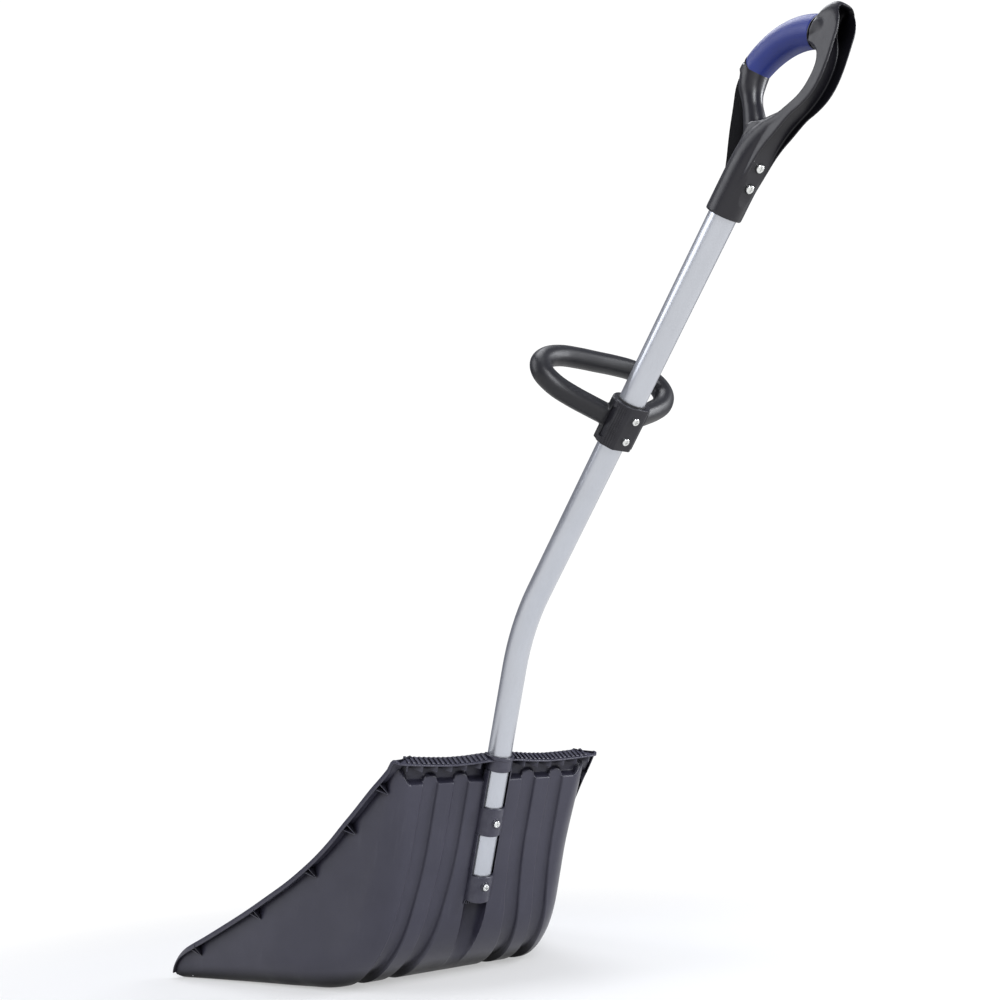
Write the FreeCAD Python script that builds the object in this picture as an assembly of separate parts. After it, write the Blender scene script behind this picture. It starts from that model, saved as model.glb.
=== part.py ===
import FreeCAD, Part
import os
from math import sin, cos, tan, radians, degrees, pi, atan2, sqrt, asin
from FreeCAD import Vector as V, Placement, Rotation

os.makedirs("parts", exist_ok=True)

# ---------------------------------------------------------------- driving dimensions (mm, degrees)
TUBE_R = 16.0            # aluminium tube, outer radius
TUBE_T = 1.5             # tube wall
BEND_R = 260.0           # centreline radius of the single bend
LEAN_LOW = 23.154        # lower leg, lean back from vertical
LEAN_UP = 47.911         # upper leg, lean back from vertical
BEND_Y, BEND_Z = 400.0, 451.2   # where the two straight legs would cross, in the symmetry plane
TUBE_BOTTOM = -372.0     # lower end of the tube, along the lower leg from the crossing
TUBE_TOP = 650.0         # upper end of the tube, along the upper leg from the crossing

HEEL_Y, HEEL_R = 113.1, 148.0   # heel arc: centre is straight above the resting face
WALL_N = 3.4             # outer face of the back wall, behind the tube axis
WALL_T = 4.0             # scoop wall thickness
RIM_S = -179.0           # top of the back wall along the lower leg
RIM_LIP = 12.0           # how far the rim flange stands out behind the wall
RIM_T = 4.0
SIDE_FLANGE = 11.0       # width of the flange along each side
SIDE_FLANGE_T = 3.5
RIM_HALF = 160.0         # half width over the flange at the rim
FLARE_1, FLARE_2 = 0.25, 0.00012   # half width grows forwards: RIM_HALF + F1*u + F2*u*u
RIM_Y = 320.0
GROOVE_D = 2.0           # depth of the moulded grooves in the back wall
GROOVES = [(42.0, 64.0), (87.7, 109.7)]
GROOVE_TOP_S = -200.0
FRONT_Y = -132.0         # cutting edge
COLLAR_R = 21.0          # tube socket on the back of the scoop, outer radius
SOCKET_LO, SOCKET_HI = -377.0, -166.0
WINDOWS = [(-243.0, -197.0), (-334.0, -281.0)]
SCOOP_SCREW_S = [-262.0, -350.0]

STRIP_T, STRIP_W = 1.2, 28.0       # metal edge strip under the blade
RIVET_X = [-240.0, -120.0, 0.0, 120.0, 240.0]

BORE_CLEAR = 0.1         # gap between tube and plastic sockets
HANDLE_R = 20.5          # socket of the D handle
HANDLE_S0 = 574.0
HANDLE_HALF = 14.0       # half thickness of the D handle's arms
HANDLE_SCREW_S = [610.5, 633.0]
GRIP_C = (23.7, 689.2)   # centre of the grip's arc, (n, s) in the upper leg's frame
GRIP_ARC_R = 82.2
GRIP_CORE_R, GRIP_R = 11.0, 17.5
GRIP_HALF_ANGLE = 28.6
GRIP_DIR = (-0.674, 0.738)

RING_S, RING_TILT, RING_R = 314.0, 19.0, 13.0
CLAMP_S0, CLAMP_S1 = 286.0, 342.0
LINER_R0, LINER_R1 = 16.08, 17.4
CLAMP_SCREW_S = [299.5, 327.0]
SCREW_R, HEAD_R, HEAD_H = 2.4, 4.6, 3.0

# ---------------------------------------------------------------- frames
B = V(0, BEND_Y, BEND_Z)
P_LOW = Placement(B, Rotation(V(1, 0, 0), -LEAN_LOW))   # local x, n (backwards), s (upwards)
P_UP = Placement(B, Rotation(V(1, 0, 0), -LEAN_UP))


def place(shape, pl):
    s = shape.copy()
    s.Placement = pl.multiply(s.Placement)
    return s


def cyl(r, s0, s1, x=0.0, n=0.0):
    return Part.makeCylinder(r, s1 - s0, V(x, n, s0), V(0, 0, 1))


def box(x0, x1, n0, n1, s0, s1):
    return Part.makeBox(x1 - x0, n1 - n0, s1 - s0, V(x0, n0, s0))


def prism_x(pts, x0, x1):
    """closed polygon of (n, s) or (y, z) points, extruded along x"""
    w = Part.makePolygon([V(x0, a, b) for a, b in pts] + [V(x0, pts[0][0], pts[0][1])])
    return Part.Face(w).extrude(V(x1 - x0, 0, 0))


def prism_z(pts, z0, z1):
    w = Part.makePolygon([V(a, b, z0) for a, b in pts] + [V(pts[0][0], pts[0][1], z0)])
    return Part.Face(w).extrude(V(0, 0, z1 - z0))


def save(shape, name):
    shape = shape.removeSplitter() if shape.ShapeType != "Compound" else shape
    sol = shape.Solids
    out = sol[0] if len(sol) == 1 else Part.makeCompound(sol)
    out.exportStep("parts/%s.step" % name)
    bb = out.BoundBox
    print("%-18s solids %d valid %s vol %9.0f  box %7.1f %7.1f %7.1f / %7.1f %7.1f %7.1f" % (
        name, len(sol), out.isValid(), out.Volume, bb.XMin, bb.YMin, bb.ZMin, bb.XMax, bb.YMax, bb.ZMax))


def screw(n_face, s, tip_n):
    """pan-head screw driven from the back, axis along n"""
    head = Part.makeCylinder(HEAD_R, HEAD_H, V(0, n_face, s), V(0, 1, 0))
    head = head.makeFillet(1.4, [e for e in head.Edges if abs(e.CenterOfMass.y - n_face - HEAD_H) < 1e-6])
    recess = box(-0.6, 0.6, n_face + HEAD_H - 1.4, n_face + HEAD_H + 1, s - 2.6, s + 2.6).fuse(
        box(-2.6, 2.6, n_face + HEAD_H - 1.4, n_face + HEAD_H + 1, s - 0.6, s + 0.6))
    shank = Part.makeCylinder(SCREW_R, n_face - tip_n, V(0, tip_n, s), V(0, 1, 0))
    return head.cut(recess).fuse(shank).removeSplitter()


def hole(n0, n1, s, r=SCREW_R):
    return Part.makeCylinder(r, n1 - n0, V(0, n0, s), V(0, 1, 0))


# ---------------------------------------------------------------- shaft tube
half = radians(LEAN_UP - LEAN_LOW) / 2.0
TAN = BEND_R * tan(half)
u1 = V(0, sin(radians(LEAN_LOW)), cos(radians(LEAN_LOW)))
u2 = V(0, sin(radians(LEAN_UP)), cos(radians(LEAN_UP)))
p_a = B + u1 * TUBE_BOTTOM
p_b = B - u1 * TAN
p_c = B + u2 * TAN
p_d = B + u2 * TUBE_TOP
mid_dir = (u2 - u1)
mid_dir.normalize()
arc_mid = B + mid_dir * (BEND_R / cos(half) - BEND_R)
path = Part.Wire([Part.LineSegment(p_a, p_b).toShape(), Part.Arc(p_b, arc_mid, p_c).toShape(),
                  Part.LineSegment(p_c, p_d).toShape()])


def pipe(r):
    c = Part.Wire([Part.makeCircle(r, p_a, u1)])
    return path.makePipeShell([c], True, False)


tube = pipe(TUBE_R).cut(pipe(TUBE_R - TUBE_T))
for s in SCOOP_SCREW_S:
    tube = tube.cut(place(hole(10, 20, s), P_LOW))
for s in HANDLE_SCREW_S:
    tube = tube.cut(place(hole(10, 20, s), P_UP))
save(tube, "shaft_tube")

plug = cyl(TUBE_R - TUBE_T - 0.05, TUBE_BOTTOM, TUBE_BOTTOM + 14).fuse(cyl(TUBE_R, TUBE_BOTTOM - 2.5, TUBE_BOTTOM))
save(place(plug, P_LOW), "tube_end_plug")

# ---------------------------------------------------------------- scoop shell
ca, sa = cos(radians(LEAN_LOW)), sin(radians(LEAN_LOW))


def wall_pt(s, off):
    """(y, z) of a point on the back wall at s, moved off inwards (forwards)"""
    n = WALL_N - off
    return (BEND_Y + s * sa + n * ca, BEND_Z + s * ca - n * sa)


TOP_EDGE = [(322.0, 284.0), (306.7, 276.6), (289.0, 262.0), (272.9, 247.6), (252.0, 230.0), (232.6, 214.3), (205.0, 192.5),
            (177.2, 173.1), (148.0, 155.5), (118.0, 139.1), (78.0, 119.9), (36.0, 100.0), (-7.0, 81.0),
            (-52.0, 61.5), (-97.5, 42.3), (-118.0, 30.0), (-129.0, 17.0), (-132.0, 6.0)]


def heel(off, k=14):
    """arc points from the wall round to the floor, for a surface off inwards"""
    r = HEEL_R - off
    pts = []
    a0, a1 = radians(-LEAN_LOW), radians(-90)
    for i in range(k + 1):
        a = a0 + (a1 - a0) * i / k
        pts.append((HEEL_Y + r * cos(a), HEEL_R + r * sin(a)))
    return pts


def half_w(y, inset=0.0):
    u = max(0.0, RIM_Y - y)
    return RIM_HALF + FLARE_1 * u + FLARE_2 * u * u - inset


def plan(inset, y_front, y_back, corner):
    ys = [y_front + (min(y_back, RIM_Y) - y_front) * i / 10.0 for i in range(11)]
    right = [(half_w(y, inset), y) for y in ys if y < y_back - corner * 0.8]
    w = half_w(y_back - corner, inset)
    arc = [(w - corner + corner * cos(radians(t)), y_back - corner + corner * sin(radians(t))) for t in (0, 22.5, 45, 67.5, 90)]
    right = right + arc
    left = [(-a, b) for a, b in reversed(right)]
    return prism_z(right + left, -30, 420)


def profile_solid(off, top, x_half=330.0):
    pts = [wall_pt(RIM_S + (0 if top else 80), off)] + heel(off)
    if top:
        pts = pts + [(-120.0, 0.0)] + [(a, b) for a, b in reversed(TOP_EDGE)]
    else:
        pts = pts + [(-300.0, off), (-300.0, 420.0)]
    # drop the duplicate point at the foot of the wall
    return prism_x(pts, -x_half, x_half)


BACK_Y = wall_pt(RIM_S, 0)[0]
outer = profile_solid(0.0, True).common(plan(SIDE_FLANGE, -140.0, BACK_Y + 25, 34.0))
inner = profile_solid(WALL_T, False).common(plan(SIDE_FLANGE + WALL_T, -400.0, BACK_Y + 25 - WALL_T, 30.0))
shell = outer.cut(inner)

# side flanges along the concave top edge, then the rim flange across the back
band = [(a, b) for a, b in TOP_EDGE] + [(a - 2.2, b - SIDE_FLANGE_T) for a, b in reversed(TOP_EDGE[:-3])]
band = prism_x(band, -330, 330)
fl = band.common(plan(0.0, -140.0, BACK_Y + 30, 10.0)).cut(plan(SIDE_FLANGE + WALL_T, -400.0, BACK_Y + 60, 1.0))
shell = shell.fuse(fl)
rim = box(-RIM_HALF, RIM_HALF, WALL_N - WALL_T, WALL_N + RIM_LIP, RIM_S - RIM_T, RIM_S)
rim = rim.fuse(box(-RIM_HALF, RIM_HALF, WALL_N + RIM_LIP - 2.5, WALL_N + RIM_LIP, RIM_S - 8.0, RIM_S))
shell = shell.fuse(place(rim, P_LOW))

# gussets under the flanges
for gy, gz in ((296.0, 268.0), (232.6, 214.3), (157.0, 160.8), (45.0, 104.3), (-80.0, 49.7)):
    for sx in (1, -1):
        w = half_w(gy, SIDE_FLANGE)
        tri = Part.makePolygon([V(sx * (w - 2.5), gy, gz - 1.5), V(sx * (w + SIDE_FLANGE - 1.5), gy, gz - 2.5),
                                V(sx * (w - 2.5), gy, gz - 24.0), V(sx * (w - 2.5), gy, gz - 1.5)])
        shell = shell.fuse(Part.Face(tri).extrude(V(0, -3.0, 0)))

# tube socket: half-round channel, collar and two straps
ch = cyl(COLLAR_R, SOCKET_LO, SOCKET_HI)
shell = shell.fuse(place(ch, P_LOW))
shell = shell.cut(place(cyl(TUBE_R + BORE_CLEAR, TUBE_BOTTOM - 2.6, SOCKET_HI + 5), P_LOW))
for s0, s1 in WINDOWS:
    shell = shell.cut(place(box(-COLLAR_R - 1, COLLAR_R + 1, WALL_N, COLLAR_R + 2, s0, s1), P_LOW))
# moulded grooves on the outside, from under the rim round the heel
g_outer = profile_solid(0.0, False)
g_inner = profile_solid(GROOVE_D, False)
skin = profile_solid(-1.0, False).cut(g_inner)
for a, b in GROOVES:
    for sx in (1, -1):
        x0, x1 = (a, b) if sx > 0 else (-b, -a)
        slot = skin.common(Part.makeBox(x1 - x0, 420, 300, V(x0, HEEL_Y, 6.0)))
        lim = place(box(x0 - 1, x1 + 1, -60, 40, GROOVE_TOP_S, 200), P_LOW)
        shell = shell.cut(slot.cut(lim))
for s in SCOOP_SCREW_S:
    shell = shell.cut(place(hole(10, 30, s), P_LOW))
    shell = shell.cut(place(box(-7, 7, 20.0, 30, s - 9, s + 9), P_LOW))
# rivet holes for the edge strip
for x in RIVET_X:
    shell = shell.cut(Part.makeCylinder(2.5, 20, V(x, FRONT_Y + 16, -10), V(0, 0, 1)))
save(shell, "scoop_shell")

# ---------------------------------------------------------------- metal edge strip: hooks over the blade's front edge
w_f = half_w(FRONT_Y + STRIP_W + 2) - SIDE_FLANGE - WALL_T - 3.0
strip = Part.makeBox(2 * w_f, STRIP_W, STRIP_T, V(-w_f, FRONT_Y + 2, WALL_T))
for x in RIVET_X:
    strip = strip.cut(Part.makeCylinder(2.5, 20, V(x, FRONT_Y + 16, -10), V(0, 0, 1)))
save(strip, "blade_edge_strip")
riv = []
for x in RIVET_X:
    r = Part.makeCylinder(2.5, WALL_T + STRIP_T, V(x, FRONT_Y + 16, 0), V(0, 0, 1))
    h = Part.makeCylinder(4.5, 1.2, V(x, FRONT_Y + 16, WALL_T + STRIP_T), V(0, 0, 1))
    riv.append(r.fuse(h).removeSplitter())
save(Part.makeCompound(riv), "strip_rivets")
save(Part.makeCompound([place(screw(20.0, s, 8.0), P_LOW) for s in SCOOP_SCREW_S]), "scoop_screws")

# ---------------------------------------------------------------- D handle
body = [(-20.5, 574), (-20.5, 620), (-31, 645), (-48, 674), (-61, 698), (-69.1, 721.2), (-38.9, 710.8),
        (-34, 700), (-27, 687), (-16, 678), (-4, 674.5), (8, 677), (16, 684), (25.5, 697), (36, 714), (39, 731),
        (37, 744), (31.5, 752), (22, 756), (7.8, 753.5), (0.2, 784.5), (10, 795), (20, 801), (28, 802), (34, 798),
        (40, 786), (45, 770), (50, 752), (53.5, 736), (52.5, 722), (46, 704), (38, 692), (30.5, 673), (25, 658),
        (21.5, 644), (20.5, 630), (20.5, 574)]
arms = prism_x(body, -HANDLE_HALF, HANDLE_HALF)
sock = cyl(HANDLE_R, HANDLE_S0, 655).fuse(Part.makeCone(HANDLE_R, 13.0, 22, V(0, 0, 655), V(0, 0, 1)))
lead = box(-30, 30, -30, 30, HANDLE_S0 - 5, HANDLE_S0)


def torus_arc(r, a_half):
    c = V(0, GRIP_C[0], GRIP_C[1])
    a_mid = degrees(atan2(GRIP_DIR[1], GRIP_DIR[0]))      # angle in the (n, s) plane
    # circle of radius r centred on the arc at its start, swept about x through the centre
    a0 = radians(a_mid - a_half)
    start = c + V(0, cos(a0), sin(a0)) * GRIP_ARC_R
    tang = V(0, -sin(a0), cos(a0))
    f = Part.Face(Part.Wire([Part.makeCircle(r, start, tang)]))
    return f.revolve(c, V(1, 0, 0), 2 * a_half)


core = torus_arc(GRIP_CORE_R, GRIP_HALF_ANGLE + 6.0)
dh = arms.fuse(sock).fuse(core)
chan = [(80, 640), (21, 640), (22.5, 658), (26.5, 672), (33.5, 688), (41, 702), (46, 716), (47.5, 731), (45.5, 747),
        (39.5, 760), (33, 770), (27, 781), (24.5, 789), (28, 795), (34, 830), (80, 830)]
dh = dh.cut(prism_x(chan, -HANDLE_HALF + 3.2, HANDLE_HALF - 3.2))
web = [(-60, 703), (-47, 680), (-31, 654), (-25, 655), (-35, 678), (-48, 706)]
dh = dh.cut(prism_x(web, 6.0, 20.0)).cut(prism_x(web, -20.0, -6.0))
dh = dh.cut(cyl(TUBE_R + BORE_CLEAR, HANDLE_S0 - 1, TUBE_TOP + 1))
dh = dh.cut(box(-8, 8, 19.0, 30, 600.0, 640.0))
for s in HANDLE_SCREW_S:
    dh = dh.cut(hole(10, 30, s))
save(place(dh, P_UP), "dhandle_body")
sleeve = torus_arc(GRIP_R, GRIP_HALF_ANGLE - 0.3).cut(torus_arc(GRIP_CORE_R, GRIP_HALF_ANGLE + 6.0))
save(place(sleeve, P_UP), "grip_sleeve")
save(Part.makeCompound([place(screw(19.0, s, 8.0), P_UP) for s in HANDLE_SCREW_S]), "handle_screws")

# ---------------------------------------------------------------- assist ring and its clamp
tilt = radians(RING_TILT)


def rp(x, m):
    """point of the ring's plane: m forwards"""
    return V(x, -m * cos(tilt), RING_S + m * sin(tilt))


def fillet_path(pts, radii):
    edges, prev = [], pts[0]
    for i in range(1, len(pts) - 1):
        a, b, c = pts[i - 1], pts[i], pts[i + 1]
        d1, d2 = (a - b), (c - b)
        d1.normalize(); d2.normalize()
        ang = d1.getAngle(d2)
        t = radii[i - 1] / tan(ang / 2)
        q1, q2 = b + d1 * t, b + d2 * t
        bis = (d1 + d2); bis.normalize()
        mid = b + bis * (radii[i - 1] / sin(ang / 2) - radii[i - 1])
        edges.append(Part.LineSegment(prev, q1).toShape())
        edges.append(Part.Arc(q1, mid, q2).toShape())
        prev = q2
    edges.append(Part.LineSegment(prev, pts[-1]).toShape())
    return Part.Wire(edges)


ring_pts = [rp(19.0, 8.0), rp(101.0, 50.0), rp(84.0, 101.0), rp(-84.0, 101.0), rp(-101.0, 50.0), rp(-19.0, 8.0)]
rw = fillet_path(ring_pts, [24.0, 34.0, 34.0, 24.0])
t0 = ring_pts[1] - ring_pts[0]
t0.normalize()
ring = rw.makePipeShell([Part.Wire([Part.makeCircle(RING_R, ring_pts[0], t0)])], True, False)
cradle = cyl(23.0, CLAMP_S0, CLAMP_S1).common(box(-30, 30, -30, -0.2, CLAMP_S0 - 1, CLAMP_S1 + 1))
cradle = cradle.fuse(box(-24.5, 24.5, -9.0, -0.2, CLAMP_S0, CLAMP_S1))
rh = ring.fuse(cradle)
rh = rh.cut(box(-40, 40, -0.2, 40, CLAMP_S0 - 40, CLAMP_S1 + 40)).cut(cyl(LINER_R1 + 0.02, CLAMP_S0 - 60, CLAMP_S1 + 60))
save(place(rh, P_UP), "ring_handle")
cap_poly = [(-23.0, 0.2), (23.0, 0.2), (23.0, 9.0), (15.0, 19.0), (12.0, 21.0), (-12.0, 21.0), (-15.0, 19.0), (-23.0, 9.0)]
w = Part.makePolygon([V(a, b, CLAMP_S0) for a, b in cap_poly] + [V(cap_poly[0][0], cap_poly[0][1], CLAMP_S0)])
cap = Part.Face(w).extrude(V(0, 0, CLAMP_S1 - CLAMP_S0))
cap = cap.cut(cyl(LINER_R1 + 0.02, CLAMP_S0 - 1, CLAMP_S1 + 1))
for s in CLAMP_SCREW_S:
    cap = cap.cut(hole(10, 30, s))
save(place(cap, P_UP), "clamp_cap")
liner = cyl(LINER_R1, CLAMP_S0 - 1.5, CLAMP_S1 + 1.5).cut(cyl(LINER_R0, CLAMP_S0 - 5, CLAMP_S1 + 5))
liner = liner.cut(box(-1.2, 1.2, -30, 0, CLAMP_S0 - 5, CLAMP_S1 + 5))
save(place(liner, P_UP), "clamp_liner")
save(Part.makeCompound([place(screw(21.0, s, LINER_R1 + 0.05), P_UP) for s in CLAMP_SCREW_S]), "clamp_screws")
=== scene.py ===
from math import sin, cos, tan, pi, radians, degrees, atan2, sqrt, hypot
import numpy as np
import bpy
from mathutils import Vector, Matrix


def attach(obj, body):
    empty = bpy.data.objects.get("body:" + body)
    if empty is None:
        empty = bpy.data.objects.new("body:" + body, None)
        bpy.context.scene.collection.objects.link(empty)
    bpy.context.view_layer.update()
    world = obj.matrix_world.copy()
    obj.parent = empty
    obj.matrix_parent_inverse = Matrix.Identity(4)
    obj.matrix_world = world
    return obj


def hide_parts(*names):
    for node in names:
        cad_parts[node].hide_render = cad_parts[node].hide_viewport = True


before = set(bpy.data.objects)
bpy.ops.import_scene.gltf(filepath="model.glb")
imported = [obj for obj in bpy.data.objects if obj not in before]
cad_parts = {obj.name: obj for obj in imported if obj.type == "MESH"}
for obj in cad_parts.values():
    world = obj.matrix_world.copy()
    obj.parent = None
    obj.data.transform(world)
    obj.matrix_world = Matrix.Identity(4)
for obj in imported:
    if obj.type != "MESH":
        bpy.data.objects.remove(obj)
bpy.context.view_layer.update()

# ---------------------------------------------------------------- frames (mm, the CAD's own numbers)
AL, AU = radians(23.154), radians(47.911)
SL, CL, SU, CU = sin(AL), cos(AL), sin(AU), cos(AU)
BY, BZ = 400.0, 451.2


def low(x, n, s):
    return (x, BY + s * SL + n * CL, BZ + s * CL - n * SL)


def up(x, n, s):
    return (x, BY + s * SU + n * CU, BZ + s * CU - n * SU)


def sstep(a, b, v):
    t = min(1.0, max(0.0, (v - a) / (b - a)))
    return t * t * (3 - 2 * t)


def lerp(a, b, t):
    return a + (b - a) * t


# ---------------------------------------------------------------- camera first
cam_data = bpy.data.cameras.new("camera")
cam_data.sensor_width = 36.0
cam_data.lens = 1047.55 * 36.0 / 1000.0
cam_data.clip_start, cam_data.clip_end = 0.05, 100.0
cam = bpy.data.objects.new("camera", cam_data)
bpy.context.scene.collection.objects.link(cam)
right = Vector((-0.8376020, 0.5437660, -0.0523587)).normalized()
down = Vector((-0.0920218, -0.2349218, -0.9676486)).normalized()
fwd = Vector((-0.5384746, -0.8056862, 0.2468093)).normalized()
cm = Matrix((
    (right.x, -down.x, -fwd.x, 0.77886),
    (right.y, -down.y, -fwd.y, 1.53091),
    (right.z, -down.z, -fwd.z, 0.27452),
    (0, 0, 0, 1)))
cam.matrix_world = cm
bpy.context.scene.camera = cam

# ---------------------------------------------------------------- mesh helpers


class MB:
    """collects closed pieces of mesh, in mm, into one object"""

    def __init__(self):
        self.v, self.f = [], []

    def add(self, verts, faces):
        o = len(self.v)
        self.v += [tuple(p) for p in verts]
        self.f += [tuple(i + o for i in f) for f in faces]

    def loft(self, rings, closed=True, cap=True):
        n = len(rings[0])
        verts = [p for r in rings for p in r]
        faces = []
        m = n if closed else n - 1
        for i in range(len(rings) - 1):
            for j in range(m):
                a, b = i * n + j, i * n + (j + 1) % n
                faces.append((a, b, b + n, a + n))
        if cap:
            faces.append(tuple(reversed(range(n))))
            faces.append(tuple((len(rings) - 1) * n + j for j in range(n)))
        self.add(verts, faces)

    def prism(self, poly, fn, a, b):
        """poly in two coordinates, fn(p, q, t) gives the point"""
        self.loft([[fn(p, q, a) for p, q in poly], [fn(p, q, b) for p, q in poly]])

    def slab(self, pts, vec):
        """flat polygon given a thickness vector"""
        self.loft([[tuple(p) for p in pts], [tuple(np.add(p, vec)) for p in pts]])

    def obj(self, name, angle=35.0, fix=True):
        me = bpy.data.meshes.new(name)
        me.from_pydata([(x * 0.001, y * 0.001, z * 0.001) for x, y, z in self.v], [], self.f)
        me.validate()
        ob = bpy.data.objects.new(name, me)
        bpy.context.scene.collection.objects.link(ob)
        if fix:
            import bmesh
            bm = bmesh.new()
            bm.from_mesh(me)
            bmesh.ops.remove_doubles(bm, verts=bm.verts, dist=1e-6)
            bmesh.ops.dissolve_degenerate(bm, edges=bm.edges, dist=1e-6)
            bmesh.ops.recalc_face_normals(bm, faces=bm.faces)
            bm.to_mesh(me)
            bm.free()
        me.shade_smooth()
        me.set_sharp_from_angle(angle=radians(angle))
        return ob


def apply_mods(ob, angle=None):
    dg = bpy.context.evaluated_depsgraph_get()
    me = bpy.data.meshes.new_from_object(ob.evaluated_get(dg))
    ob.modifiers.clear()
    ob.data = me
    me.shade_smooth()
    if angle:
        me.set_sharp_from_angle(angle=radians(angle))
    return ob


def remesh(ob, voxel, smooth=0, factor=0.5):
    m = ob.modifiers.new("r", "REMESH")
    m.mode = "VOXEL"
    m.voxel_size = voxel * 0.001
    if smooth:
        s = ob.modifiers.new("s", "SMOOTH")
        s.factor, s.iterations = factor, smooth
    return apply_mods(ob)


def cut(ob, cutter):
    m = ob.modifiers.new("b", "BOOLEAN")
    m.operation, m.solver, m.object = "DIFFERENCE", "EXACT", cutter
    apply_mods(ob)
    bpy.data.objects.remove(cutter)
    return ob


def bevel(ob, width, seg=2, angle=35):
    b = ob.modifiers.new("bv", "BEVEL")
    b.width, b.segments, b.limit_method, b.angle_limit = width * 0.001, seg, "ANGLE", radians(angle)
    b.harden_normals = False
    return ob


def catmull(pts, closed=False, k=6):
    out = []
    n = len(pts)
    rng = range(n) if closed else range(n - 1)
    for i in rng:
        p0 = pts[(i - 1) % n] if (closed or i > 0) else tuple(2 * np.array(pts[0]) - np.array(pts[1]))
        p1, p2 = pts[i], pts[(i + 1) % n]
        p3 = pts[(i + 2) % n] if (closed or i + 2 < n) else tuple(2 * np.array(pts[-1]) - np.array(pts[-2]))
        p0, p1, p2, p3 = (np.array(p, float) for p in (p0, p1, p2, p3))
        d1 = max(np.linalg.norm(p1 - p0), 1e-6) ** 0.5
        d2 = max(np.linalg.norm(p2 - p1), 1e-6) ** 0.5
        d3 = max(np.linalg.norm(p3 - p2), 1e-6) ** 0.5
        m1 = (p1 - p0) / d1 - (p2 - p0) / (d1 + d2) + (p2 - p1) / d2
        m2 = (p2 - p1) / d2 - (p3 - p1) / (d2 + d3) + (p3 - p2) / d3
        m1, m2 = m1 * d2, m2 * d2
        for j in range(k):
            t = j / k
            h = ((2 * t ** 3 - 3 * t ** 2 + 1) * p1 + (t ** 3 - 2 * t ** 2 + t) * m1
                 + (-2 * t ** 3 + 3 * t ** 2) * p2 + (t ** 3 - t ** 2) * m2)
            out.append(tuple(h))
    if not closed:
        out.append(tuple(pts[-1]))
    return out


def tube_along(mb, pts, radii, seg=40, side=None):
    """round tube along 3-D points (mm); radii a number or (a, b) pairs: a along the frame's side vector"""
    pts = [np.array(p, float) for p in pts]
    rings = []
    prev = None
    for i, p in enumerate(pts):
        t = pts[min(i + 1, len(pts) - 1)] - pts[max(i - 1, 0)]
        t /= np.linalg.norm(t)
        if prev is None:
            s = np.array(side if side is not None else (1.0, 0.0, 0.0), float)
        else:
            s = prev
        s = s - t * np.dot(s, t)
        s /= np.linalg.norm(s)
        prev = s
        w = np.cross(t, s)
        r = radii[i] if isinstance(radii, (list, tuple)) else radii
        a, b = r if isinstance(r, (list, tuple)) else (r, r)
        rings.append([tuple(p + s * a * cos(2 * pi * k / seg) + w * b * sin(2 * pi * k / seg)) for k in range(seg)])
    mb.loft(rings)


# ---------------------------------------------------------------- materials


def mat_new(name):
    m = bpy.data.materials.new(name)
    m.use_nodes = True
    nt = m.node_tree
    bs = nt.nodes["Principled BSDF"]
    return m, nt, bs


def node(nt, kind, **kw):
    n = nt.nodes.new(kind)
    for k, v in kw.items():
        if k.startswith("i_"):
            n.inputs[k[2:].replace("_", " ")].default_value = v
        else:
            setattr(n, k, v)
    return n


def ramp(nt, stops):
    r = nt.nodes.new("ShaderNodeValToRGB")
    e = r.color_ramp.elements
    while len(e) < len(stops):
        e.new(0.5)
    for el, (p, c) in zip(e, stops):
        el.position = p
        el.color = c if len(c) == 4 else (*c, 1.0)
    return r


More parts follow.
